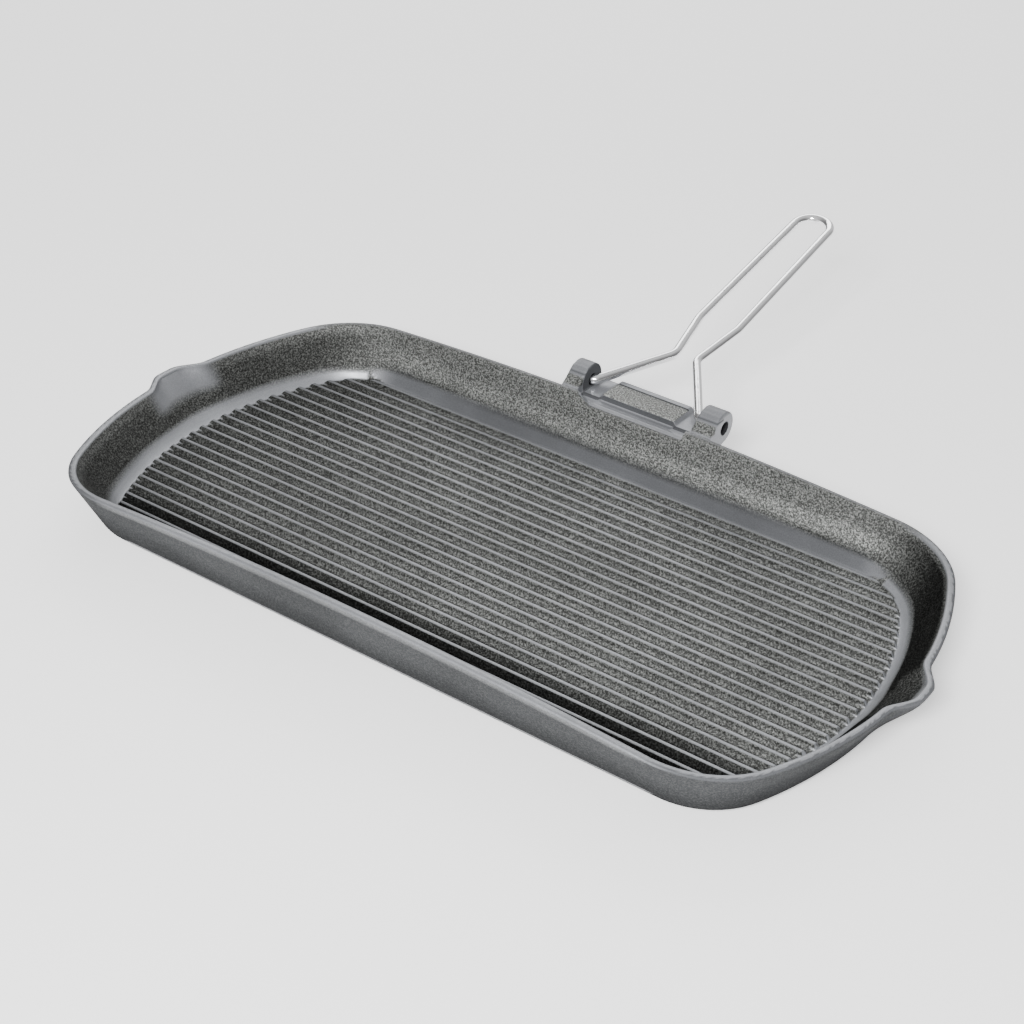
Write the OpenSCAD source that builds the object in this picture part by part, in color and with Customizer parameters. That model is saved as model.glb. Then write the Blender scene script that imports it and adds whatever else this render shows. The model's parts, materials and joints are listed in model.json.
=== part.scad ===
// Two-burner ribbed grill pan in cast iron, with a folding wire handle.
// Millimetres. The origin is the centre of the flat underside; +X runs along the
// long side, +Y points to the hinge side, +Z is up.

/* [Rim] */
// Half of the pan's length over the rim, without the spouts
rim_half_l = 240; // [232:0.5:250]
// Half of the pan's width over the rim
rim_half_w = 127; // [124:0.5:132]
// Radius of the bowed short ends
end_r = 223.9; // [215:0.1:240]
// Corner radius of the rim
corner_r = 54; // [48:0.5:60]
// Rim height in the middle of the long sides
rim_mid_z = 41.4; // [39:0.1:44]
// Rim height at the short ends
rim_end_z = 31; // [28:0.1:34]
// Width of the flat on top of the rim
rim_w = 4.5; // [3.5:0.1:5.5]

/* [Floor] */
// Thickness of the floor between the ribs
floor_t = 4.5; // [4:0.1:5.5]
// Radius that rounds the lower outside edge
base_round = 9; // [8:0.5:9.5]
// Half length of the flat underside
base_half_l = 219.5; // [216:0.5:221]
// Half width of the flat underside
base_half_w = 103.5; // [103:0.1:105]

/* [Ribs] */
// Number of ribs
rib_count = 25; // [21:2:25]
// Distance between ribs
rib_pitch = 8.88; // [8.5:0.01:8.9]
// Height of a rib above the floor
rib_h = 3.7; // [2:0.1:4.5]
// Width of a rib at the floor
rib_foot_w = 5.8; // [4:0.1:6.2]
// Width of a rib's crest
rib_crest_w = 1.8; // [1:0.1:2.5]
// How far a rib's end slopes out from crest to foot
rib_end_slope = 2.7; // [1:0.1:4]

/* [Spouts] */
// How far a pouring spout stands out of the rim
spout_out = 8; // [4:0.5:9]
// Half width of a spout
spout_half_w = 24; // [20:1:30]
// Distance of the spouts from the pan's middle line, towards the hinge
spout_y = 4; // [0:0.5:6]

/* [Hinge] */
// Distance of the hinge axis from the pan's centre
hinge_y = 142.8; // [141:0.1:144]
// Height of the hinge axis
hinge_z = 40.8; // [40:0.1:42]
// Radius of a hinge lug
lug_r = 10; // [9:0.1:11]
// Inner face of the right lug, from the pan's middle
right_lug_in = 39.2; // [39:0.1:40]
// Outer face of the right lug, from the pan's middle
right_lug_out = 52.5; // [51.5:0.1:55]
// Inner face of the left lug, from the pan's middle
left_lug_in = 36.9; // [36.7:0.1:37.5]
// Outer face of the left lug, from the pan's middle
left_lug_out = 48; // [47.5:0.1:51]
// Clearance round the wire in a lug
bore_play = 0.08; // [0.04:0.01:0.1]
// Height of the shelf that the folded handle passes over
shelf_z = 36; // [34.5:0.1:36]
// Height of the stop bar
bar_z = 40; // [39:0.1:41]

/* [Handle] */
// Diameter of the handle wire
wire_d = 6; // [5.5:0.1:6]
// Slope of the handle at rest, above horizontal
rest_angle = 12.2; // [12:0.1:13]
// Length of the handle from the hinge axis to the middle of the wire at the tip
handle_l = 204.5; // [180:0.5:230]
// Half width of the handle at its grip
grip_half_w = 11.7; // [10:0.1:16]

/* [Hidden] */
iron = [0.17, 0.18, 0.19];
chrome = [0.82, 0.83, 0.85];

// A ring is [half length, half width, end radius, corner radius, height in the
// middle of a long side, height at a short end, share of the spout's bulge].
foot_turn = 68;             // how far the lower round turns, in degrees
base_ring = [base_half_l, base_half_w, 205, 36, 0, 0, 0];
round_step = [1, 1, 1, 1, 0, 0, 0];
function round_ring(turn) = base_ring + base_round * sin(turn) * round_step
    + base_round * (1 - cos(turn)) * [0, 0, 0, 0, 1, 1, 0];
rim_outer = [rim_half_l, rim_half_w, end_r, corner_r, rim_mid_z, rim_end_z, 1];
rim_inner = rim_outer - rim_w * round_step;
wall_foot = [219.5, 111.5, 197, 48, floor_t + 8.4, floor_t + 3.8, 0];
fillet_mid = [216.6, 108.6, 194.2, 46, floor_t, floor_t, 0];
floor_ring = [212.5, 105.5, 190.1, 43, floor_t, floor_t, 0];
function mix(a, b, t) = a * (1 - t) + b * t;
function bezier(a, b, c, t) = mix(mix(a, b, t), mix(b, c, t), t);
function spout_share(ring, share) = [for (i = [0:6]) i == 6 ? share : ring[i]];

rings = [
    base_ring,
    round_ring(24), round_ring(46), round_ring(foot_turn),
    spout_share(mix(round_ring(foot_turn), rim_outer, 0.55), 0.5),
    rim_outer,
    rim_inner,
    spout_share(mix(wall_foot, rim_inner, 0.5), 0.45),
    wall_foot,
    bezier(floor_ring, fillet_mid, wall_foot, 0.66),
    bezier(floor_ring, fillet_mid, wall_foot, 0.33),
    floor_ring,
];

// Outline of a ring: bowed ends, round corners and straight sides
end_steps = 14;
corner_steps = 7;
side_steps = 5;
function end_x0(ring) = ring[0] - ring[2];
function corner_y(ring) = ring[1] - ring[3];
function corner_x(ring) = end_x0(ring) + sqrt(pow(ring[2] - ring[3], 2) - pow(corner_y(ring), 2));
function end_turn(ring) = atan2(corner_y(ring), corner_x(ring) - end_x0(ring));
function quarter(ring) = [
    for (i = [0:end_steps - 1]) let (t = end_turn(ring) * i / end_steps)
        [end_x0(ring) + ring[2] * cos(t), ring[2] * sin(t)],
    for (i = [0:corner_steps - 1]) let (t = mix(end_turn(ring), 90, i / corner_steps))
        [corner_x(ring) + ring[3] * cos(t), corner_y(ring) + ring[3] * sin(t)],
    for (i = [0:side_steps]) [corner_x(ring) * (1 - i / side_steps), ring[1]],
];
quarter_n = end_steps + corner_steps + side_steps;
ring_n = 4 * quarter_n;
// Point i of the closed outline, which repeats the quarter mirrored
function folded(i) = let (j = i % (2 * quarter_n)) j <= quarter_n ? j : 2 * quarter_n - j;
function outline(ring) = let (q = quarter(ring)) [
    for (i = [0:ring_n - 1]) [
        (i <= quarter_n || i >= 3 * quarter_n ? 1 : -1) * q[folded(i)].x,
        (i <= 2 * quarter_n ? 1 : -1) * q[folded(i)].y
    ]
];
// Half length of a ring at a distance y from the middle line
function half_length(ring, y) = abs(y) < ring[2] * sin(end_turn(ring))
    ? end_x0(ring) + sqrt(pow(ring[2], 2) - y * y)
    : corner_x(ring) + sqrt(max(0, pow(ring[3], 2) - pow(abs(y) - corner_y(ring), 2)));

function smooth(t) = let (u = min(1, max(0, t))) u * u * (3 - 2 * u);
spout_flat = 5;
function spout(p) = abs(p.x) < rim_half_l / 2 ? 0
    : smooth((spout_half_w - abs(p.y - spout_y)) / (spout_half_w - spout_flat));
function ring_points(ring) = [
    for (p = outline(ring)) let (s = spout(p) * ring[6]) [
        p.x + sign(p.x) * spout_out * s,
        p.y,
        mix(ring[4], ring[5], pow(p.x / ring[0], 2))
    ]
];

module shell() {
    last = (len(rings) - 1) * ring_n;
    polyhedron(
        points = [for (ring = rings) each ring_points(ring)],
        faces = [
            [for (i = [0:ring_n - 1]) i],
            for (j = [0:len(rings) - 2], i = [0:ring_n - 1])
                let (a = j * ring_n + i, b = j * ring_n + (i + 1) % ring_n)
                each [[a, a + ring_n, b], [b, a + ring_n, b + ring_n]],
            [for (i = [ring_n - 1:-1:0]) last + i],
        ],
        convexity = 6
    );
}

// One rib: a long ridge whose two ends slope down to the floor's edge
crest_ring = [214.5, 110.1, 191.6, 46];
rib_sink = 1;
rib_z = [floor_t - rib_sink, floor_t + rib_h];
sink_w = (rib_foot_w - rib_crest_w) / 2 * rib_sink / rib_h;
rib_half_w = [rib_foot_w / 2 + sink_w, rib_crest_w / 2];
rib_out = [rib_end_slope * (rib_h + rib_sink) / rib_h, 0];
module rib(y) {
    polyhedron(
        points = [for (level = [0, 1], side = [-1, 1], end = [-1, 1])
            let (py = y + side * rib_half_w[level])
            [end * (half_length(crest_ring, py) + rib_out[level]), py, rib_z[level]]],
        faces = [[0, 1, 3, 2], [4, 6, 7, 5], [0, 4, 5, 1], [2, 3, 7, 6],
                 [0, 2, 6], [0, 6, 4], [1, 5, 7], [1, 7, 3]]
    );
}

// A solid with a constant profile in Y and Z, from x0 to x1
module along_x(x0, x1) {
    translate([x0, 0, 0]) rotate([90, 0, 90]) linear_extrude(height = x1 - x0) children();
}

bar_near_y = 133;
bar_far_y = 155.2;
bar_edge = 1.4;             // bevel along the bar's far top edge
wall_y = rim_half_w - rim_w / 2;
under_z = 31;
lug_hidden = 0.3;           // the seat's cut trims this much off a lug's inner face
lug_edge = 0.8;             // bevel round a lug's outer face
module lug(inner, outer) {
    start = inner - lug_hidden;
    along_x(start, outer - lug_edge) polygon([
        [wall_y - 8, 20], [wall_y + 6, 29], [hinge_y - 1, under_z + 1],
        [hinge_y, hinge_z], [hinge_y - 5.2, hinge_z + lug_r * 0.83],
        [wall_y + 0.6, rim_mid_z - 1.3], [wall_y - 3, 30],
    ]);
    translate([start, hinge_y, hinge_z]) rotate([0, 90, 0])
        rotate_extrude($fn = 64) polygon([
            [0, 0], [lug_r, 0], [lug_r, outer - start - lug_edge],
            [lug_r - lug_edge, outer - start], [0, outer - start],
        ]);
}

// Bore of a lug, with a wide mouth on the inside and a small bevel on the outside
bore_r = wire_d / 2 + bore_play;
mouth_depth = 1.4;
mouth_slope = 0.5;
bore_edge = 0.4;
reach = 0.2;                // the cones reach this much past the faces they open
module bore(inner, outer) {
    translate([inner - 1, hinge_y, hinge_z]) rotate([0, 90, 0])
        cylinder(r = bore_r, h = outer - inner + 2, $fn = 64);
    translate([inner - reach, hinge_y, hinge_z]) rotate([0, 90, 0]) cylinder(
        r1 = bore_r + mouth_slope * (mouth_depth + reach), r2 = bore_r - mouth_slope * reach,
        h = mouth_depth + 2 * reach, $fn = 64);
    translate([outer - bore_edge - reach, hinge_y, hinge_z]) rotate([0, 90, 0]) cylinder(
        r1 = bore_r - reach, r2 = bore_r + bore_edge + reach,
        h = bore_edge + 2 * reach, $fn = 64);
}

module stop_bar() {
    along_x(-left_lug_in - 1, right_lug_in + 1) polygon([
        [wall_y - 8, 20], [wall_y + 3, 28.5], [bar_near_y + 2, under_z], [bar_far_y - 6, under_z],
        [bar_far_y, under_z + 4], [bar_far_y, bar_z - bar_edge], [bar_far_y - bar_edge, bar_z],
        [bar_near_y + 1, bar_z], [bar_near_y, bar_z - 1], [bar_near_y, shelf_z - 1],
        [wall_y - 3, shelf_z - 1],
    ]);
}

// Space over the shelf, where the rim is cut down for the folded handle
shelf_x = [-35.8, 38];
shelf_round = 6;
module shelf_cut() {
    near_y = bar_near_y - 22;
    translate([0, 0, shelf_z]) linear_extrude(height = 20) {
        translate([shelf_x[0] + shelf_round, near_y])
            square([shelf_x[1] - shelf_x[0] - 2 * shelf_round, 22]);
        translate([shelf_x[0], near_y]) square([shelf_x[1] - shelf_x[0], 22 - shelf_round]);
        for (x = [shelf_x[0] + shelf_round, shelf_x[1] - shelf_round])
            translate([x, bar_near_y - shelf_round]) circle(r = shelf_round, $fn = 48);
    }
}

// Seat for one arm: the bar's end slopes from its full height at full_x down to the
// seat at foot_x, and the seat runs on to the lug's inner face
seat_z = shelf_z + 0.8;
seat_near_y = bar_near_y - 2;
seat_far_y = bar_far_y + 2;
seat_high = 20;
module arm_seat(full_x, foot_x, inner) {
    slope = (foot_x - full_x) / (bar_z - seat_z);
    translate([0, seat_far_y, seat_z]) rotate([90, 0, 0])
        linear_extrude(height = seat_far_y - seat_near_y) polygon([
            [foot_x, 0], [inner, 0], [inner, seat_high], [foot_x - slope * seat_high, seat_high],
        ]);
}

module pan_casting() {
    color(iron) difference() {
        union() {
            shell();
            for (k = [0:rib_count - 1]) rib((k - (rib_count - 1) / 2) * rib_pitch);
            lug(right_lug_in, right_lug_out);
            mirror([1, 0, 0]) lug(left_lug_in, left_lug_out);
            stop_bar();
        }
        shelf_cut();
        arm_seat(24, 26.6, right_lug_in);
        mirror([1, 0, 0]) arm_seat(22.5, 25.5, left_lug_in);
        bore(right_lug_in, right_lug_out);
        mirror([1, 0, 0]) bore(left_lug_in, left_lug_out);
    }
}

// The handle lies in one plane: x across the handle, y away from the hinge axis.
// Each corner is [x, y, bend radius]; the wire's first point is its end in the lug.
wire_end = [45.5, 0];
tip_flat = 0.6;
// A bend is a hair thicker than a straight run, which ends just inside it
bend_swell = 0.01;
bend_grip = 0.15;
handle_corners = [
    [35.7, 0, 4.6],
    [7.17, 43.9, 9],
    [13.2, 80.4, 25],
    [grip_half_w, handle_l, grip_half_w - tip_flat],
];
function dir(a, b) = (b - a) / norm(b - a);
function flat(p) = [p.x, p.y];
handle_path = concat([wire_end], [for (c = handle_corners) flat(c)], [[0, handle_l]]);
function turn_of(i) = let (
        u = dir(handle_path[i - 1], handle_path[i]),
        v = dir(handle_path[i], handle_path[i + 1])
    ) atan2(u.x * v.y - u.y * v.x, u * v);
function tangent_len(i) = i < 1 || i > len(handle_corners) ? 0
    : handle_corners[i - 1][2] * tan(abs(turn_of(i)) / 2);

module wire_run(i) {
    way = dir(handle_path[i], handle_path[i + 1]);
    length = norm(handle_path[i + 1] - handle_path[i]) - tangent_len(i) - tangent_len(i + 1);
    start_grip = i == 0 ? 0 : bend_grip;
    translate(handle_path[i] + way * (tangent_len(i) - start_grip))
        rotate([0, 0, atan2(way.y, way.x)]) rotate([0, 90, 0])
            cylinder(d = wire_d, h = length + start_grip + bend_grip, $fn = 48);
}

module tip_run() {
    half = grip_half_w - tangent_len(len(handle_corners)) + bend_grip;
    translate([-half, handle_l, 0]) rotate([0, 90, 0]) cylinder(d = wire_d, h = 2 * half, $fn = 48);
}

module wire_bend(i) {
    way = dir(handle_path[i - 1], handle_path[i]);
    turn = turn_of(i);
    side = sign(turn);
    bend_r = handle_corners[i - 1][2];
    start = handle_path[i] - way * tangent_len(i);
    translate(start + bend_r * side * [-way.y, way.x])
        rotate([0, 0, atan2(way.y, way.x) - side * 90 + min(0, turn)])
            rotate_extrude(angle = abs(turn), $fn = 96) translate([bend_r, 0])
                circle(d = wire_d + 2 * bend_swell, $fn = 48);
}

module wire_handle() {
    color(chrome) translate([0, hinge_y, hinge_z]) rotate([rest_angle, 0, 0]) {
        for (side = [0, 1]) mirror([side, 0, 0]) {
            for (i = [0:len(handle_corners) - 1]) wire_run(i);
            for (i = [1:len(handle_corners)]) wire_bend(i);
        }
        tip_run();
    }
}

pan_casting();
wire_handle();
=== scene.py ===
"""Looks of a cast-iron grill pan with a folding chrome wire handle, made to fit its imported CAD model.

Shapes are worked out in millimetres in the CAD frame and scaled to metres when a mesh is made.
Left is -X, right is +X, the near side is -Y, and the hinge is on the far side.
"""

import json
import math

import bpy
import numpy as np
from mathutils import Matrix, Vector


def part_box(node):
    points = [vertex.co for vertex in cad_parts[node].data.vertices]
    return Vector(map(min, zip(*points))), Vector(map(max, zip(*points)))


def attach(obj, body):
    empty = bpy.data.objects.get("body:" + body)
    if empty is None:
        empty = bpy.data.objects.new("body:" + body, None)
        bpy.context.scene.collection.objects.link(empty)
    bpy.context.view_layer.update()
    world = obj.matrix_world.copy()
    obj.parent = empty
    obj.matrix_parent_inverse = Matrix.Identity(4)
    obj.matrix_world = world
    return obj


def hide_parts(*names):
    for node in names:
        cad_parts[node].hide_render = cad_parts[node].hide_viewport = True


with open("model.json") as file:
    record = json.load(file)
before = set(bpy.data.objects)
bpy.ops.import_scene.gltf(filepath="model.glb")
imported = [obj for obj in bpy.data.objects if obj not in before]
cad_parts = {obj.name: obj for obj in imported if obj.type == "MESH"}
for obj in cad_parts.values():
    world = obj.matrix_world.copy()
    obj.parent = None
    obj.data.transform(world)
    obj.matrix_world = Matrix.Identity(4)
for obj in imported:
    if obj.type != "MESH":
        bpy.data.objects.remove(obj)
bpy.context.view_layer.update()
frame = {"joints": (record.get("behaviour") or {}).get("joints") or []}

MM = 0.001

# ---------------------------------------------------------------- sizes from the frame, in mm
pan_lo, pan_hi = (np.array(c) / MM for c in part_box("pan_casting"))
wire_hi = np.array(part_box("wire_handle")[1]) / MM
fold = frame["joints"][0]
HINGE_Y, HINGE_Z = (c / MM for c in fold["pos_m"][1:])

SPOUT_OUT = 8.0
SPOUT_HALF_W = 24.0
SPOUT_FLAT = 5.0                # half width of a spout's straight lip
SPOUT_Y = 4.0                   # distance from the middle line, towards the hinge
RIM_HALF_L = pan_hi[0] - SPOUT_OUT
RIM_HALF_W = -pan_lo[1]
RIM_MID_Z = 41.4                # height in the middle of a long side
RIM_END_Z = 31.0                # height at the short ends
RIM_W = 4.5
RIM_EDGE_R = 1.3
FLOOR_Z = 4.5
RIB_H = 3.7
RIB_COUNT = 25
RIB_PITCH = 8.88
BASE_ROUND = 9.0                # radius of the lower outside edge
FOOT_TURN = math.radians(68)    # how far that edge turns
LUG_R = pan_hi[2] - HINGE_Z
LUG_IN = (36.9, 39.2)           # a pair is for the left and the right side
LUG_OUT = (48.0, 52.5)
BORE_R = 3.08
BORE_BEVEL = 0.4                # at the outer end
MOUTH_DEPTH = 1.4               # of the cone at the inner end
MOUTH_SLOPE = 0.5
SHELF_Z = 36.0
SHELF_X = (-35.8, 38.0)
SEAT_Z = 36.8                   # of the seats under the handle's arms, at the bar's ends
BAR_NEAR_Y = 133.0
BAR_FAR_Y = pan_hi[1]
BAR_Z = 40.0
BAR_BEVEL = 1.4                 # along the far top edge
BAR_FULL_X = (22.6, 24.0)       # the bar has its full height up to here
BAR_FOOT_X = (26.6, 26.6)       # and has sloped down to the seat by here
BAR_SEAM_Y = 148.8              # line between the bar's sandy top and its smooth far edge
WIRE_R = 3.0


def mix(a, b, t):
    return a * (1 - t) + b * t


def smooth(t):
    t = np.clip(t, 0, 1)
    return t * t * (3 - 2 * t)


def by_side(x, pair):
    """The left or the right one of a pair of sizes."""
    return np.where(x < 0, pair[0], pair[1])


# ---------------------------------------------------------------- mesh helpers
def mesh_object(name, points, faces):
    """A mesh object from points in mm; the frame's unit is the metre."""
    data = bpy.data.meshes.new(name)
    data.from_pydata((np.asarray(points, float) * MM).tolist(), [], faces)
    data.validate()
    piece = bpy.data.objects.new(name, data)
    bpy.context.scene.collection.objects.link(piece)
    return piece


def loft(rings):
    """Points and faces of closed rings of equal length joined one after the other, with flat ends."""
    count = len(rings[0])
    points = np.concatenate(rings)
    faces = []
    for j in range(len(rings) - 1):
        for i in range(count):
            a, b = j * count + i, j * count + (i + 1) % count
            faces.append((a, b, b + count, a + count))
    faces.append(tuple(range(count))[::-1])
    faces.append(tuple(range((len(rings) - 1) * count, len(rings) * count)))
    return points, faces


def joined(parts):
    """Several (points, faces) pairs as one."""
    points, faces, base = [], [], 0
    for part_points, part_faces in parts:
        points.append(np.asarray(part_points, float))
        faces += [tuple(i + base for i in face) for face in part_faces]
        base += len(part_points)
    return np.concatenate(points), faces


def boolean(target, tool, operation):
    """Cuts tool from target or adds it, then removes tool."""
    step = target.modifiers.new("boolean", "BOOLEAN")
    step.operation = operation
    step.solver = "MANIFOLD"
    step.object = tool
    graph = bpy.context.evaluated_depsgraph_get()
    made = bpy.data.meshes.new_from_object(target.evaluated_get(graph))
    target.modifiers.remove(step)
    target.data = made
    bpy.data.objects.remove(tool)


# ---------------------------------------------------------------- outline of the pan
# A ring is [half length, half width, end radius, corner radius, height in the middle of a long
# side, height at a short end, share of the spout's bulge], as in the CAD model.
STEP_OUT = np.array([1, 1, 1, 1, 0, 0, 0], float)
STEP_UP = np.array([0, 0, 0, 0, 1, 1, 0], float)
BASE = np.array([219.5, 103.5, 205, 36, 0, 0, 0])
RIM = np.array([RIM_HALF_L, RIM_HALF_W, 223.9, 54, RIM_MID_Z, RIM_END_Z, 1])
WALL_FOOT = np.array([219.5, 111.5, 197, 48, FLOOR_Z + 8.4, FLOOR_Z + 3.8, 0])
FILLET_MID = np.array([216.6, 108.6, 194.2, 46, FLOOR_Z, FLOOR_Z, 0])
FLOOR_EDGE = np.array([212.5, 105.5, 190.1, 43, FLOOR_Z, FLOOR_Z, 0])
CREST = np.array([214.5, 110.1, 191.6, 46, 0, 0, 0])    # the ribs' crests end on this outline
END_STEPS, CORNER_STEPS, SIDE_STEPS = 52, 26, 22        # points on a quarter of an outline
# Rings on the lower edge, the outer wall, each edge of the rim, the inner wall and the fillet
FOOT_RINGS, OUTER_RINGS, EDGE_RINGS, INNER_RINGS, FILLET_RINGS = 8, 8, 4, 10, 8


def corner_centre(ring):
    a, b, end_r, corner_r = ring[:4]
    y = b - corner_r
    return a - end_r + np.sqrt((end_r - corner_r) ** 2 - y * y), y


def outline(ring):
    """Closed outline of a ring, anticlockwise from the middle of the +X end."""
    a, b, end_r, corner_r = ring[:4]
    cx, cy = corner_centre(ring)
    turn = math.atan2(cy, cx - (a - end_r))
    t = np.linspace(0, turn, END_STEPS, endpoint=False)
    end = np.c_[a - end_r + end_r * np.cos(t), end_r * np.sin(t)]
    t = np.linspace(turn, math.pi / 2, CORNER_STEPS, endpoint=False)
    corner = np.c_[cx + corner_r * np.cos(t), cy + corner_r * np.sin(t)]
    side = np.c_[np.linspace(cx, 0, SIDE_STEPS + 1), np.full(SIDE_STEPS + 1, b)]
    quarter = np.concatenate([end, corner, side])
    half = np.concatenate([quarter, quarter[-2::-1] * [-1, 1]])
    return np.concatenate([half, half[-2:0:-1] * [1, -1]])


def half_length(ring, y):
    """Half length of a ring at a distance y from its middle line."""
    a, b, end_r, corner_r = ring[:4]
    cx, cy = corner_centre(ring)
    y = np.abs(y)
    on_end = a - end_r + np.sqrt(np.maximum(end_r**2 - y * y, 0))
    on_corner = cx + np.sqrt(np.maximum(corner_r**2 - (y - cy) ** 2, 0))
    split = end_r * np.sin(np.arctan2(cy, cx - (a - end_r)))
    return np.where(y < split, on_end, on_corner)


def rim_height(x):
    return mix(RIM_MID_Z, RIM_END_Z, (x / RIM_HALF_L) ** 2)


def spout_share(x, y):
    """Share of a spout's full bulge at a point."""
    share = smooth((SPOUT_HALF_W - np.abs(y - SPOUT_Y)) / (SPOUT_HALF_W - SPOUT_FLAT))
    return np.where(np.abs(x) > RIM_HALF_L / 2, share, 0)


def ring_points(ring):
    x, y = outline(ring).T
    bulge = spout_share(x, y) * ring[6]
    height = mix(ring[4], ring[5], (x / ring[0]) ** 2)
    return np.c_[x + np.sign(x) * SPOUT_OUT * bulge, y, height]


def with_spout(ring, share):
    return np.append(ring[:6], share)


def steps(count):
    """Even steps up to 1, without the 0."""
    return np.linspace(0, 1, count + 1)[1:]


def shell_rings():
    """Rings of the pan's skin, from the flat underside over the rim to the floor."""
    rings = [BASE]
    for turn in FOOT_TURN * steps(FOOT_RINGS):
        outward, up = math.sin(turn), 1 - math.cos(turn)
        rings.append(BASE + BASE_ROUND * (outward * STEP_OUT + up * STEP_UP))
    foot, top = rings[-1], RIM - RIM_EDGE_R * STEP_UP
    for t in steps(OUTER_RINGS):
        rings.append(with_spout(mix(foot, top, t), smooth(t * 1.05) ** 0.8))
    for turn in math.pi / 2 * steps(EDGE_RINGS):
        inward, down = 1 - math.cos(turn), 1 - math.sin(turn)
        rings.append(RIM - RIM_EDGE_R * (inward * STEP_OUT + down * STEP_UP))
    rings.append(RIM - RIM_W / 2 * STEP_OUT)
    inner = RIM - RIM_W * STEP_OUT
    for turn in np.linspace(math.pi / 2, 0, EDGE_RINGS + 1):
        outward, down = 1 - math.cos(turn), 1 - math.sin(turn)
        rings.append(inner + RIM_EDGE_R * (outward * STEP_OUT - down * STEP_UP))
    top = rings[-1]
    for t in steps(INNER_RINGS):
        rings.append(with_spout(mix(top, WALL_FOOT, t), (1 - t) ** 1.2))
    for t in steps(FILLET_RINGS):
        near, far = mix(WALL_FOOT, FILLET_MID, t), mix(FILLET_MID, FLOOR_EDGE, t)
        rings.append(mix(near, far, t))
    return rings


def shell():
    return loft([ring_points(r) for r in shell_rings()])


# ---------------------------------------------------------------- ribs
# Half of a rib's section: distance from its middle and height above the floor
RIB_HALF = [(3.9, -1.0), (3.5, 0.0), (2.9, 0.22), (2.4, 0.6), (1.95, 1.2), (1.6, 2.0),
            (1.35, 2.7), (1.1, 3.2), (0.75, 3.52), (0.4, 3.66)]
RIB_END_SLOPE = 2.7             # how far an end slopes out from crest to foot
RIB_STATIONS = (-0.99, -0.5, 0, 0.5, 0.99)


def rib(y):
    half = np.array(RIB_HALF)
    section = np.concatenate([half, [(0, RIB_H)], half[::-1] * [-1, 1]])
    across, height = y + section[:, 0], FLOOR_Z + section[:, 1]
    reach = half_length(CREST, across)
    end = reach + RIB_END_SLOPE * (1 - section[:, 1] / RIB_H)
    stations = [-end, *(share * reach for share in RIB_STATIONS), end]
    return loft([np.c_[x, across, height] for x in stations])


def ribs():
    return joined(rib((k - (RIB_COUNT - 1) / 2) * RIB_PITCH) for k in range(RIB_COUNT))


# ---------------------------------------------------------------- distance fields
def smooth_min(a, b, k):
    h = np.clip(0.5 + 0.5 * (b - a) / k, 0, 1)
    return mix(b, a, h) - k * h * (1 - h)


def smooth_max(a, b, k):
    return -smooth_min(-a, -b, k)


def polygon_distance(points, y, z):
    """Signed distance to a closed polygon, negative inside."""
    best = np.full(y.shape, 1e9)
    inside = np.zeros(y.shape, bool)
    for (y0, z0), (y1, z1) in zip(points, points[1:] + points[:1]):
        ey, ez = y1 - y0, z1 - z0
        wy, wz = y - y0, z - z0
        t = np.clip((wy * ey + wz * ez) / (ey * ey + ez * ez), 0, 1)
        best = np.minimum(best, np.hypot(wy - t * ey, wz - t * ez))
        inside ^= ((z0 > z) != (z1 > z)) & (wy < wz * ey / (ez if ez else 1e-9))
    return np.where(inside, -best, best)


def surface_net(field, origin, step):
    """Points and quads of the surface where field is 0; field is negative inside.

    A grid cell that the surface crosses gets one point, the mean of the crossings on its edges,
    and a grid edge that the surface crosses gets one quad between the four cells round it.
    """
    inside = field < 0
    nx, ny, nz = field.shape
    total = np.zeros((nx - 1, ny - 1, nz - 1, 3))
    count = np.zeros((nx - 1, ny - 1, nz - 1))
    for axis in range(3):
        u, v = [a for a in range(3) if a != axis]
        for du in (0, 1):
            for dv in (0, 1):
                low = [slice(0, n - 1) for n in field.shape]
                low[u] = slice(du, field.shape[u] - 1 + du)
                low[v] = slice(dv, field.shape[v] - 1 + dv)
                high = list(low)
                high[axis] = slice(1, field.shape[axis])
                f0, f1 = field[tuple(low)], field[tuple(high)]
                cross = (f0 < 0) != (f1 < 0)
                t = np.where(cross, f0 / np.where(cross, f0 - f1, 1), 0)
                place = [0.0, 0.0, 0.0]
                place[u], place[v] = du, dv
                for a in range(3):
                    total[..., a] += cross * (t if a == axis else place[a])
                count += cross
    used = count > 0
    number = np.full(used.shape, -1)
    number[used] = np.arange(used.sum())
    points = (np.argwhere(used) + total[used] / count[used][:, None]) * step + origin
    faces = []
    for axis in range(3):
        u, v = [(1, 2), (2, 0), (0, 1)][axis]
        low = [slice(None)] * 3
        high = [slice(None)] * 3
        low[axis], high[axis] = slice(0, -1), slice(1, None)
        flips = inside[tuple(low)] != inside[tuple(high)]
        for at in np.argwhere(flips):
            if min(at[u], at[v]) < 1:
                continue
            corners = []
            for du, dv in ((-1, -1), (0, -1), (0, 0), (-1, 0)):
                c = at.copy()
                c[u] += du
                c[v] += dv
                corners.append(number[tuple(c)])
            faces.append(tuple(corners) if inside[tuple(at)] else tuple(corners[::-1]))
    return points, faces


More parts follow.
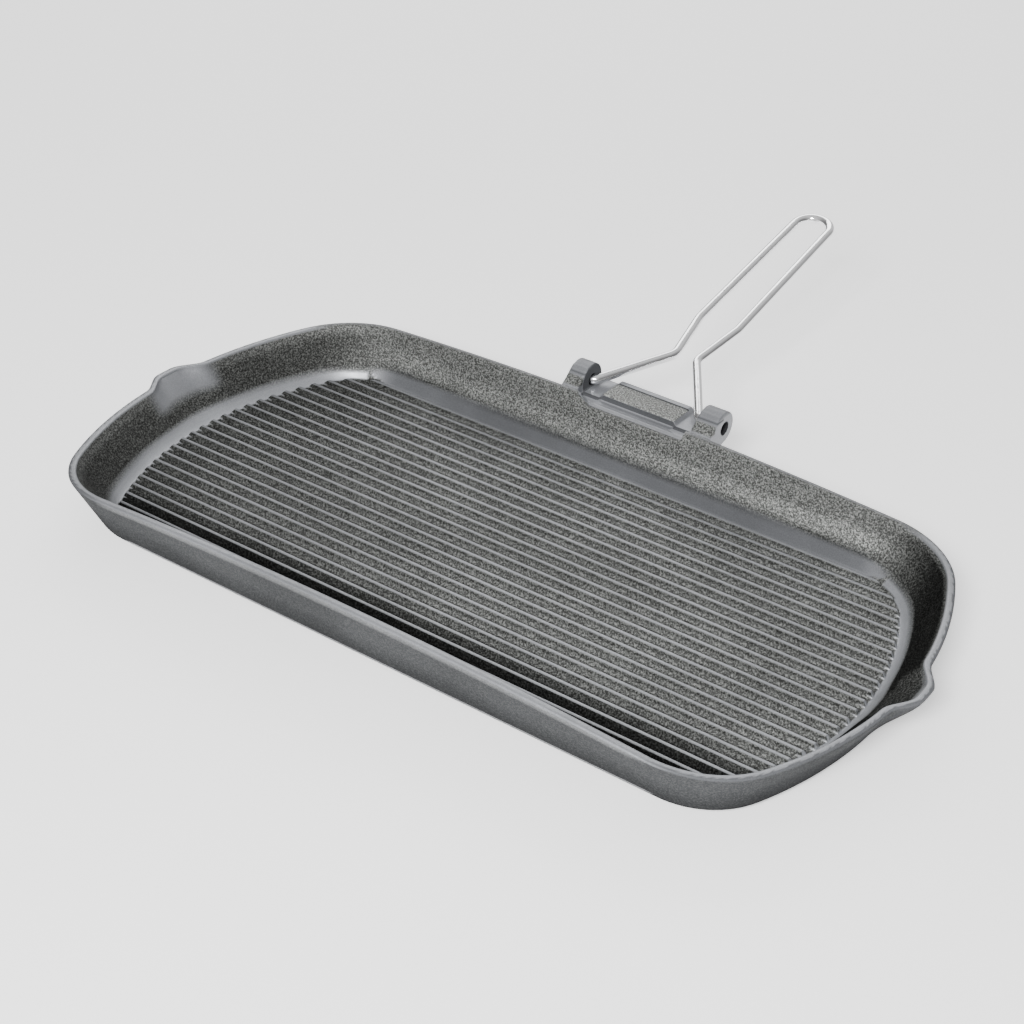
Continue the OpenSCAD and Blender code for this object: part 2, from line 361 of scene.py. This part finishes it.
# ---------------------------------------------------------------- hinge block
# Sections of wall and web and the line of the bar's underside, all as (y, z)
WALL_SECTION = [(118.8, 22), (127, RIM_MID_Z), (122.5, RIM_MID_Z), (115.0, 22)]
LUG_WEB = [(118, 19), (130, 28), (142, 31.5), (142.8, 41), (137.3, 49.0), (127.2, 41.6), (124, 40)]
BAR_UNDER = [(118, 19), (127, 28.5), (135, 31), (149, 31), (155.2, 34.5)]
BLOCK_NEAR_Y = 121.5            # the block starts here, inside the wall
INSET = 0.3                     # the block's wall lies this much inside the shell's, where both are
LEFT_RAMP = (-33.5, 122.5, 41.3)        # a point on the ramp at the shelf's left end
LEFT_RAMP_SLOPES = (0.68, 0.526)        # down to the right and down to the far side
RIGHT_RAMP_X, RIGHT_RAMP_L = 36.1, 2.8
HINGE_BOX = ((-51.0, 114.0, 14.0), (56.0, 157.5, 54.0))
HINGE_GRID = 0.5


def shelf_height(x, y):
    """Top of the wall at the shelf: flat, with a long ramp on the left and a short one on the right."""
    ramp_x, ramp_y, ramp_z = LEFT_RAMP
    slope_x, slope_y = LEFT_RAMP_SLOPES
    left = ramp_z - slope_x * (x - ramp_x) - slope_y * (y - ramp_y)
    right = mix(SHELF_Z, RIM_MID_Z, smooth((x - RIGHT_RAMP_X) / RIGHT_RAMP_L))
    return np.maximum(np.maximum(left, right), SHELF_Z)


def wall_field(x, y, z):
    """The stretch of wall that carries the hinge, cut down to the shelf."""
    past_shelf = smooth(np.maximum(SHELF_X[0] - x, x - SHELF_X[1]) / 3)
    inset = INSET * np.maximum(past_shelf, smooth((31 - z) / 2))
    wall = polygon_distance(WALL_SECTION, y[0], z[0])[None] + inset
    top = np.minimum(shelf_height(x, y), rim_height(x) - INSET * past_shelf)
    return smooth_max(wall, z - top, 0.5)


def bar_field(x, y, z):
    """The stop bar between the lugs, with a seat at each end, and the floor in front of it."""
    ax = np.abs(x)
    floor = SHELF_Z - 0.15 - 0.4 * smooth((y - 127) / 2)
    bar_top = mix(floor, BAR_Z, smooth((y - BAR_NEAR_Y + 0.2) / 1.1))
    bar_top = np.minimum(bar_top, BAR_Z - (y - BAR_FAR_Y + BAR_BEVEL))
    seat_top = mix(floor, SEAT_Z, smooth((y - 129) / 3))
    full = by_side(x, BAR_FULL_X)
    top = mix(bar_top, seat_top, smooth((ax - full) / (by_side(x, BAR_FOOT_X) - full)))
    under = np.interp(y, *np.transpose(BAR_UNDER))
    block = smooth_max(z - top, under - z, 0.9)
    block = smooth_max(block, y - BAR_FAR_Y, 0.8)
    block = smooth_max(block, BLOCK_NEAR_Y - y, 1.0)
    return smooth_max(block, ax - by_side(x, LUG_IN) - 1.5, 0.5)


def lug_field(x, y, z):
    """The two lugs: barrels round the hinge axis, each on a web that grows out of the wall."""
    inner, outer = by_side(x, LUG_IN), by_side(x, LUG_OUT)
    barrel = np.hypot(y[0] - HINGE_Y, z[0] - HINGE_Z) - LUG_R
    side_view = smooth_min(barrel, polygon_distance(LUG_WEB, y[0], z[0]), 3.0)[None]
    return smooth_max(side_view, np.abs(np.abs(x) - (inner + outer) / 2) - (outer - inner) / 2, 1.0)


def bore_field(x, y, z):
    """The bores, each with a cone at its inner end and a bevel at its outer end."""
    ax = np.abs(x)
    inner, outer = by_side(x, LUG_IN), by_side(x, LUG_OUT)
    past = 0.2
    mouth = MOUTH_SLOPE * np.clip(MOUTH_DEPTH - (ax - inner), 0, MOUTH_DEPTH + past)
    bevel = np.clip(ax - outer + BORE_BEVEL, 0, BORE_BEVEL + past)
    return np.maximum(np.hypot(y - HINGE_Y, z - HINGE_Z) - (BORE_R + mouth + bevel), inner - past - ax)


def hinge_field(x, y, z):
    solid = smooth_min(bar_field(x, y, z), lug_field(x, y, z), 1.2)
    solid = smooth_min(solid, wall_field(x, y, z), 0.4)
    return smooth_max(solid, -bore_field(x, y, z), 0.3)


def hinge_block():
    axes = [np.arange(low, high, HINGE_GRID) for low, high in zip(*HINGE_BOX)]
    field = hinge_field(*np.meshgrid(*axes, indexing="ij"))
    for axis in range(3):
        layers = np.moveaxis(field, axis, 0)
        layers[0] = layers[-1] = 1.0    # empty, so that the surface closes before the box ends
    return surface_net(field, np.array(HINGE_BOX[0]), HINGE_GRID)


def shelf_cutter():
    """Takes the shell's rim away where the hinge block brings its own."""
    ends = (SHELF_X[0] + 0.5, SHELF_X[1] - 0.5)
    points = [(x, y, z) for x in ends for y in (110, 131) for z in (30, 60)]
    faces = [(0, 1, 3, 2), (4, 6, 7, 5), (0, 4, 5, 1), (2, 3, 7, 6), (0, 2, 6, 4), (1, 5, 7, 3)]
    return points, faces


# ---------------------------------------------------------------- finish of the casting, and its painted shade and light
# Distances in these masks are in mm. A mask is 0 to 1, times how strong its effect is.
HINGE_FROM_Y = 126.5            # the hinge's finish and painted shade take over from the wall's here
END_FROM_X = 150                # the painted shade and light start to change towards the short ends here
# The middle of the wall's thickness near its foot: the first four values of a ring, and the height
WALL_MIDDLE_FOOT = np.array([224.0, 111.3, 202.0, 46.0])
WALL_MIDDLE_FOOT_Z = 7


def past_ribs(x, y, z):
    """Whether a point lies past the ribs' ends or sides and between the floor and the rim's top."""
    edge = half_length(CREST + 1.5 * STEP_OUT, np.minimum(np.abs(y), 106))
    return ((np.abs(x) > edge) | (np.abs(y) > 108.5)) & (z > 4) & (z < rim_height(x) + 2)


def outer_skin(x, y, z):
    """Whether a point lies outside the middle of the wall's thickness."""
    up = np.clip((z - WALL_MIDDLE_FOOT_Z) / (rim_height(x) - WALL_MIDDLE_FOOT_Z), 0, 1)
    ring = mix(WALL_MIDDLE_FOOT[:, None], (RIM - RIM_W / 2 * STEP_OUT)[:4, None], up)
    ax, ay = np.abs(x) - SPOUT_OUT * up * spout_share(x, y), np.abs(y)
    return (z < 4) | (ay > ring[1]) | (ax > half_length(ring, np.minimum(ay, ring[1])))


def band(value, low, high, soft):
    """1 between low and high, fading to 0 over soft on either side."""
    return smooth((value - low + soft) / soft) * smooth((high + soft - value) / soft)


def pan_finish_and_painted_shade(x, y, z, hinge):
    """Smoothness, painted shade and painted light masks of floor, walls and rim. hinge marks the points
    of the hinge.
    """
    ax, ay = np.abs(x), np.abs(y)
    outside = outer_skin(x, y, z)
    beyond = past_ribs(x, y, z)
    walls = beyond & ~outside
    floor = ~beyond & ~outside & (z < FLOOR_Z + 4)
    below_rim = rim_height(x) - z
    to_end = smooth((ax - END_FROM_X) / 40)

    rim = smooth((1.6 - below_rim) / 0.8) * (below_rim > -2.5)
    rim = rim * np.maximum(smooth((110 - y) / 15), smooth((x - 170) / 25))
    far_side = smooth((y - 99) / 6) * smooth((185 - ax) / 30) * walls
    fillet = walls * (1 - smooth((z - mix(9.5, 13.5, far_side)) / 3))
    left_scoop = walls * (x < -205) * smooth((30 - np.abs(y - SPOUT_Y)) / 12) * smooth((z - 17) / 5)
    crest = floor * smooth((z - FLOOR_Z - 3.35) / 0.2)
    smoothness = np.maximum.reduce([rim, fillet, left_scoop, crest, 0.5 * outside])

    # the floor, painted shade: darker on the ribs' flanks, in the grooves and most along the near wall,
    # and towards the left end
    grooves = floor * (1 - crest)
    flank = floor * band(z - FLOOR_Z, 2.1, 2.9, 0.5) * 0.6
    near_groove = grooves * np.maximum(smooth((-45 - y) / 40), 0.22)
    left_groove = grooves * smooth((-40 - x) / 130) * 0.75
    left_crest = crest * smooth((-50 - x) / 130) * 0.5

    # painted shade on the short ends, inside: the right one is dark but for its near corner, the left
    # one less so; the fillets towards the ends get painted light
    right_spout = (x > 225) * smooth((SPOUT_HALF_W - np.abs(y - SPOUT_Y)) / 8)
    right_share = (1 - 0.2 * right_spout) * smooth((y + 55) / 30)
    left_share = 0.65 * smooth(below_rim / 8)
    end_wall = walls * smooth((ax - END_FROM_X) / 60) * smooth((z - 10) / 3) * (1 - left_scoop)
    end_wall = end_wall * smooth((below_rim - 1) / 1.5) * np.where(x < 0, left_share, right_share)
    end_foot = fillet * (1 - far_side) * to_end * 0.55

    # painted shade on the outer edge of the rim at the short ends, and on the outside of the walls,
    # stronger low down
    lip = half_length(RIM - RIM_EDGE_R * STEP_OUT, np.minimum(ay, RIM_HALF_W - RIM_EDGE_R))
    lip_edge = (ax > lip + SPOUT_OUT * spout_share(x, y)) * (below_rim < 2) * to_end * 0.65
    turned = smooth((below_rim - mix(0.8, 0.1, to_end)) / mix(1.5, 0.6, to_end))
    outer_wall = outside * ~hinge * mix(0.9, 0.72, smooth(z / 25)) * turned

    # the far wall: painted shade at its foot, painted light halfway up
    far_foot = far_side * band(z, 7.5, 16, 2) * 0.7
    far_light = far_side * band(z, 20.5, 25, 3) * mix(0.4, 0.8, smooth(x / 150))

    # dark holds the painted shade, light the painted light, which includes a painted sheen on the rib
    # crests
    dark = [flank, near_groove, left_groove, left_crest, end_wall, lip_edge, outer_wall, far_foot]
    light = [far_light, crest * 0.15, end_foot]
    return smoothness, np.maximum.reduce(dark), np.maximum.reduce(light)


def hinge_finish_and_painted_shade(x, y, z):
    """A smoothness mask, a dark mask that is mostly painted shade, a mask of painted light and a mask
    of the shelf, for lugs and stop bar.
    """
    ax = np.abs(x)
    inner, outer = by_side(x, LUG_IN), by_side(x, LUG_OUT)
    r = np.hypot(y - HINGE_Y, z - HINGE_Z)
    on_lug = ax > inner - 0.4
    shelf = ~on_lug & (y > 122.8) & (y <= HINGE_FROM_Y) & (z > SHELF_Z - 1) & (z < 41)

    lug_front = on_lug * smooth((46.6 - z) / 1.0) * smooth((z - 41.3) / 1.0) * (y < 140)
    from_middle = np.abs(ax - (inner + outer) / 2)
    lug_side = on_lug & (from_middle > (outer - inner) / 2 - 0.6) & (r < LUG_R + 1)
    bar_top = ~on_lug & (ax < by_side(x, BAR_FOOT_X)) & (z > BAR_Z - 0.8) & (y > BAR_NEAR_Y + 0.4)
    sandy_top = bar_top * (y < BAR_SEAM_Y)
    smoothness = np.where(lug_side, 1, 1 - lug_front) * (1 - sandy_top)

    # painted shade in the bores, on the left lug's inner face and on the bar's front face; a darker
    # line along the bar's seam and along the top of the lugs' front band, and a darker crown on the
    # lugs
    bore = (r < BORE_R + 1.2) & (ax > inner + 0.3)
    left_inner_face = (x < 0) * (np.abs(ax - inner) < 0.7) * (r < LUG_R + 0.3) * 0.75
    seam = bar_top * (1.4 - np.abs(y - BAR_SEAM_Y - 0.3))
    bar_front = ~on_lug * (y > 129) * (y < BAR_NEAR_Y + 0.6) * (z > SHELF_Z + 0.2) * 0.8
    crown_edge = on_lug * (ax < outer) * (1 - np.abs(z - 47.4) / 1.4) * (y < 141) * 0.8
    crown = on_lug * (z > 48.5) * 0.35

    dark = [bore, left_inner_face, seam, bar_front, crown_edge, crown]
    # painted light on the bar's sandy top and on the shelf
    return smoothness, np.maximum.reduce(dark), np.maximum(sandy_top, shelf * 0.45), shelf


def finish_and_painted_shade(co):
    """Two masks for points in mm: how smooth the iron is, 0 to 1, and how dark it is, -1 to 1, mostly
    painted shade above 0 and painted light below 0.
    """
    x, y, z = co.T
    hinge = (np.abs(x) < by_side(x, LUG_OUT) + 3) & (y > HINGE_FROM_Y)
    pan_smooth, pan_dark, pan_light = pan_finish_and_painted_shade(x, y, z, hinge)
    hinge_smooth, hinge_dark, hinge_light, shelf = hinge_finish_and_painted_shade(x, y, z)
    smoothness = np.where(shelf, 1, np.where(hinge, hinge_smooth, pan_smooth))
    dark = np.maximum(pan_dark, hinge_dark) - np.maximum(pan_light, hinge_light)
    return smoothness, np.clip(dark, -1, 1)


def sharp_by_angle(data, degrees):
    data.shade_smooth()
    data.set_sharp_from_angle(angle=math.radians(degrees))


def build_casting():
    pan = mesh_object("pan_iron", *shell())
    boolean(pan, mesh_object("cutter", *shelf_cutter()), "DIFFERENCE")
    boolean(pan, mesh_object("hinge", *hinge_block()), "UNION")
    boolean(pan, mesh_object("ribs", *ribs()), "UNION")
    sharp_by_angle(pan.data, 38)
    co = np.empty(len(pan.data.vertices) * 3)
    pan.data.vertices.foreach_get("co", co)
    for name, mask in zip(("smooth_iron", "painted_shade_light_and_tone"), finish_and_painted_shade(co.reshape(-1, 3) / MM)):
        pan.data.attributes.new(name, "FLOAT", "POINT").data.foreach_set("value", mask)
    return pan


# ---------------------------------------------------------------- the handle
REST = math.atan2(wire_hi[2] - WIRE_R - HINGE_Z, wire_hi[1] - WIRE_R - HINGE_Y)
HANDLE_L = math.hypot(wire_hi[2] - WIRE_R - HINGE_Z, wire_hi[1] - WIRE_R - HINGE_Y)
GRIP_HALF_W = 11.7
# Corners of the right half of the wire in its own plane: across, along, and the bend's radius
HANDLE_CORNERS = [
    (35.7, 0, 4.6), (7.17, 43.9, 9), (13.2, 80.4, 25), (GRIP_HALF_W, HANDLE_L, GRIP_HALF_W - 0.1),
]
WIRE_SIDES = 32
WIRE_ENDS = [(0.0, 0.8), (0.5, 1.0)]    # bevel: distance from the end and share of the radius


def unit(v):
    return v / np.linalg.norm(v)


def handle_path():
    """Centre line of the wire in its own plane, from one lug round the tip to the other."""
    end = np.array([wire_hi[0], 0.0])
    points = [end]
    stops = [end, *(np.array(c[:2], float) for c in HANDLE_CORNERS), np.array([0.0, HANDLE_L])]
    for (*_, bend_r), last, corner, following in zip(HANDLE_CORNERS, stops, stops[1:], stops[2:]):
        before, after = unit(corner - last), unit(following - corner)
        turn = math.atan2(before[0] * after[1] - before[1] * after[0], before @ after)
        start = corner - before * (bend_r * math.tan(abs(turn) / 2))
        centre = start + math.copysign(bend_r, turn) * np.array([-before[1], before[0]])
        x, y = start - centre
        count = max(6, int(abs(math.degrees(turn)) / 4))
        for a in np.linspace(0, turn, count + 1):
            ca, sa = math.cos(a), math.sin(a)
            points.append(centre + np.array([ca * x - sa * y, sa * x + ca * y]))
    half = np.array(points)
    return np.concatenate([half, half[::-1] * [-1, 1]])


def build_handle():
    path = handle_path()
    tangent = np.gradient(path, axis=0)
    tangent /= np.linalg.norm(tangent, axis=1)[:, None]
    side = np.c_[-tangent[:, 1], tangent[:, 0]]
    stations = [(path[0] + tangent[0] * d, side[0], share) for d, share in WIRE_ENDS]
    stations += [(p, s, 1.0) for p, s in zip(path[1:-1], side[1:-1])]
    stations += [(path[-1] - tangent[-1] * d, side[-1], share) for d, share in WIRE_ENDS[::-1]]
    turn = np.linspace(0, 2 * math.pi, WIRE_SIDES, endpoint=False)
    rings = []
    for p, s, share in stations:
        across = np.outer(np.cos(turn) * WIRE_R * share, s) + p
        up = np.sin(turn) * WIRE_R * share
        y = across[:, 1] * math.cos(REST) - up * math.sin(REST)
        z = across[:, 1] * math.sin(REST) + up * math.cos(REST)
        rings.append(np.c_[across[:, 0], HINGE_Y + y, HINGE_Z + z])
    wire = mesh_object("handle_wire", *loft(rings))
    sharp_by_angle(wire.data, 35)
    return wire


# ---------------------------------------------------------------- materials
def set_range(node, *stops):
    """Sets what a Map Range node maps: from low, from high, to low, to high."""
    for socket, value in zip(("From Min", "From Max", "To Min", "To Max"), stops):
        node.inputs[socket].default_value = value


class Nodes:
    """Short calls for the nodes that the materials use."""

    def __init__(self, name):
        self.material = bpy.data.materials.new(name)
        self.material.use_nodes = True
        self.tree = self.material.node_tree
        self.shader = self.tree.nodes["Principled BSDF"]
        self.place = self.add("ShaderNodeTexCoord").outputs["Object"]

    def add(self, kind, **values):
        node = self.tree.nodes.new(kind)
        for key, value in values.items():
            setattr(node, key, value)
        return node

    def link(self, source, target):
        self.tree.links.new(source, target)

    def noise(self, scale, detail, rough):
        """Noise with scale cells per metre."""
        node = self.add("ShaderNodeTexNoise")
        node.inputs["Scale"].default_value = scale
        node.inputs["Detail"].default_value = detail
        node.inputs["Roughness"].default_value = rough
        self.link(self.place, node.inputs["Vector"])
        return node.outputs["Fac"]

    def ramp(self, source, *stops):
        node = self.add("ShaderNodeMapRange", interpolation_type="SMOOTHSTEP")
        set_range(node, *stops)
        self.link(source, node.inputs["Value"])
        return node.outputs["Result"]

    def colours(self, source, *stops):
        node = self.add("ShaderNodeValToRGB")
        ramp = node.color_ramp
        while len(ramp.elements) < len(stops):
            ramp.elements.new(0.5)
        for element, (place, colour) in zip(ramp.elements, stops):
            element.position = place
            element.color = (*colour, 1)
        self.link(source, node.inputs["Fac"])
        return node.outputs["Color"]

    def math(self, operation, a, b):
        node = self.add("ShaderNodeMath", operation=operation)
        for socket, value in zip(node.inputs, (a, b)):
            if isinstance(value, (int, float)):
                socket.default_value = value
            else:
                self.link(value, socket)
        return node.outputs["Value"]

    def blend(self, share, a, b):
        """Mixes two colours; inputs 6 and 7 and output 2 are a Mix node's colour sockets."""
        node = self.add("ShaderNodeMix", data_type="RGBA")
        self.link(share, node.inputs["Factor"])
        for socket, value in ((node.inputs[6], a), (node.inputs[7], b)):
            if isinstance(value, tuple):
                socket.default_value = (*value, 1)
            else:
                self.link(value, socket)
        return node.outputs[2]

    def bump(self, height, distance, strength):
        node = self.add("ShaderNodeBump")
        node.inputs["Distance"].default_value = distance
        node.inputs["Strength"].default_value = strength
        self.link(height, node.inputs["Height"])
        return node.outputs["Normal"]


def iron_material():
    """Seasoned cast iron: fine sandy grain, smoother on rim, fillet, rib crests and shelf."""
    m = Nodes("cast_iron_seasoned")
    mask = m.add("ShaderNodeAttribute", attribute_name="smooth_iron").outputs["Fac"]
    dark = m.add("ShaderNodeAttribute", attribute_name="painted_shade_light_and_tone").outputs["Fac"]
    sandy = m.math("SUBTRACT", 1.0, mask)
    grain = m.noise(1050, 3.0, 0.6)
    coarse = m.noise(330, 2.0, 0.5)
    fine = m.noise(1900, 2.0, 0.6)
    patches = m.noise(14, 3.0, 0.55)
    height = m.math("ADD", m.ramp(grain, 0.32, 0.68, 0, 1), m.math("MULTIPLY", coarse, 0.5))
    sand_colour = m.colours(
        m.ramp(grain, 0.32, 0.68, 0, 1),
        (0.0, (0.03, 0.03, 0.028)), (0.5, (0.095, 0.098, 0.094)), (1.0, (0.24, 0.245, 0.235)),
    )
    smooth_colour = m.colours(
        m.ramp(fine, 0.3, 0.7, 0, 1), (0.0, (0.2, 0.206, 0.22)), (1.0, (0.26, 0.267, 0.282)),
    )
    colour = m.blend(mask, sand_colour, smooth_colour)
    # random patches of tone, times the painted shade and light from the mask: darker above 0, lighter
    # below 0
    shade = m.ramp(patches, 0.3, 0.7, 0.85, 1.1)
    shade = m.math("MULTIPLY", shade, m.math("SUBTRACT", 1.0, m.math("MULTIPLY", dark, 0.9)))
    tint = m.add("ShaderNodeVectorMath", operation="SCALE")
    m.link(colour, tint.inputs[0])
    m.link(shade, tint.inputs["Scale"])
    m.link(tint.outputs[0], m.shader.inputs["Base Color"])
    # less metallic and less specular where there is painted shade
    shine = m.ramp(dark, 0.0, 0.75, 0.5, 0.0)
    m.link(shine, m.shader.inputs["Metallic"])
    m.link(shine, m.shader.inputs["Specular IOR Level"])
    rough = m.math("ADD", m.math("MULTIPLY", sandy, 0.12), m.ramp(coarse, 0.3, 0.7, 0.38, 0.46))
    m.link(rough, m.shader.inputs["Roughness"])
    strength = m.math("ADD", m.math("MULTIPLY", sandy, 0.85), 0.12)
    scaled = m.math("MULTIPLY", height, strength)
    m.link(m.bump(scaled, 0.0003, 0.8), m.shader.inputs["Normal"])
    return m.material


def chrome_material():
    """Bright plating with faint waviness and a few pinholes."""
    m = Nodes("chrome_wire")
    waves = m.noise(90, 2.0, 0.5)
    pits = m.noise(700, 1.0, 0.5)
    in_pit = m.ramp(pits, 0.72, 0.78, 0, 1)
    m.link(m.blend(in_pit, (0.95, 0.95, 0.96), (0.3, 0.3, 0.3)), m.shader.inputs["Base Color"])
    m.shader.inputs["Metallic"].default_value = 1.0
    m.link(m.ramp(waves, 0.3, 0.7, 0.1, 0.2), m.shader.inputs["Roughness"])
    m.link(m.bump(waves, 0.0004, 0.35), m.shader.inputs["Normal"])
    return m.material


def floor_material():
    """Matt and nearly white, with a glow that lifts it towards a plain light background."""
    m = Nodes("pale_floor")
    tone = m.colours(m.noise(3, 2.0, 0.5), (0.0, (0.9, 0.9, 0.9)), (1.0, (0.93, 0.93, 0.93)))
    m.link(tone, m.shader.inputs["Base Color"])
    m.shader.inputs["Roughness"].default_value = 0.9
    m.shader.inputs["Specular IOR Level"].default_value = 0.1
    m.shader.inputs["Emission Color"].default_value = (1, 1, 1, 1)
    m.shader.inputs["Emission Strength"].default_value = 0.7
    return m.material


# ---------------------------------------------------------------- camera, floor and light, in metres
CAMERA_PLACE = (0.50861, -0.73989, 0.61104)
CAMERA_TURN = (34.118, 32.678, 2.729)   # azimuth, elevation and roll in degrees
CAMERA_LENS = 70.91                     # in mm, for a sensor 36 mm wide
FLOOR_HALF = 4000                       # in mm


def build_camera():
    """Three-quarter view from above the near right corner."""
    az, el, roll = (math.radians(a) for a in CAMERA_TURN)
    back = Vector((math.sin(az) * math.cos(el), -math.cos(az) * math.cos(el), math.sin(el)))
    right = Vector((math.cos(az), math.sin(az), 0))
    up = back.cross(right)
    across = math.cos(roll) * right + math.sin(roll) * up
    upward = math.cos(roll) * up - math.sin(roll) * right
    data = bpy.data.cameras.new("camera")
    data.sensor_width = 36
    data.lens = CAMERA_LENS
    data.clip_start = 0.05
    camera = bpy.data.objects.new("camera", data)
    bpy.context.scene.collection.objects.link(camera)
    place = Matrix((across, upward, back)).transposed().to_4x4()
    place.translation = Vector(CAMERA_PLACE)
    camera.matrix_world = place
    bpy.context.scene.camera = camera


def build_floor():
    corners = [(x * FLOOR_HALF, y * FLOOR_HALF, 0) for x, y in ((-1, -1), (1, -1), (1, 1), (-1, 1))]
    floor = mesh_object("floor", corners, [(0, 1, 2, 3)])
    floor.data.materials.append(floor_material())


def area_light(name, place, aim, size, power):
    data = bpy.data.lights.new(name, "AREA")
    data.shape = "RECTANGLE"
    data.size, data.size_y = size
    data.energy = power
    light = bpy.data.objects.new(name, data)
    light.location = place
    light.rotation_euler = (Vector(aim) - Vector(place)).to_track_quat("-Z", "Y").to_euler()
    bpy.context.scene.collection.objects.link(light)


def build_light():
    """A white world that is dimmer to the left and right, and two area lights."""
    world = bpy.data.worlds.new("studio")
    world.use_nodes = True
    nodes, links = world.node_tree.nodes, world.node_tree.links
    background = nodes["Background"]
    background.inputs["Color"].default_value = (1, 1, 1, 1)
    place = nodes.new("ShaderNodeTexCoord")
    split = nodes.new("ShaderNodeSeparateXYZ")
    sideways = nodes.new("ShaderNodeMath")
    sideways.operation = "ABSOLUTE"
    strength = nodes.new("ShaderNodeMapRange")
    set_range(strength, 0.25, 0.85, 0.75, 0.2)
    links.new(place.outputs["Generated"], split.inputs[0])
    links.new(split.outputs["X"], sideways.inputs[0])
    links.new(sideways.outputs[0], strength.inputs["Value"])
    links.new(strength.outputs["Result"], background.inputs["Strength"])
    bpy.context.scene.world = world
    area_light("key", place=(0.45, -1.3, 1.05), aim=(0.05, 0, 0), size=(0.5, 0.4), power=52)
    area_light("back", place=(-0.85, 1.25, 1.05), aim=(0, 0, 0), size=(1.4, 0.8), power=13)


build_camera()
casting = build_casting()
casting.data.materials.clear()
casting.data.materials.append(iron_material())
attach(casting, "pan")
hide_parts("pan_casting")
wire = build_handle()
wire.data.materials.append(chrome_material())
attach(wire, "handle")
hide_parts("wire_handle")
build_floor()
build_light()
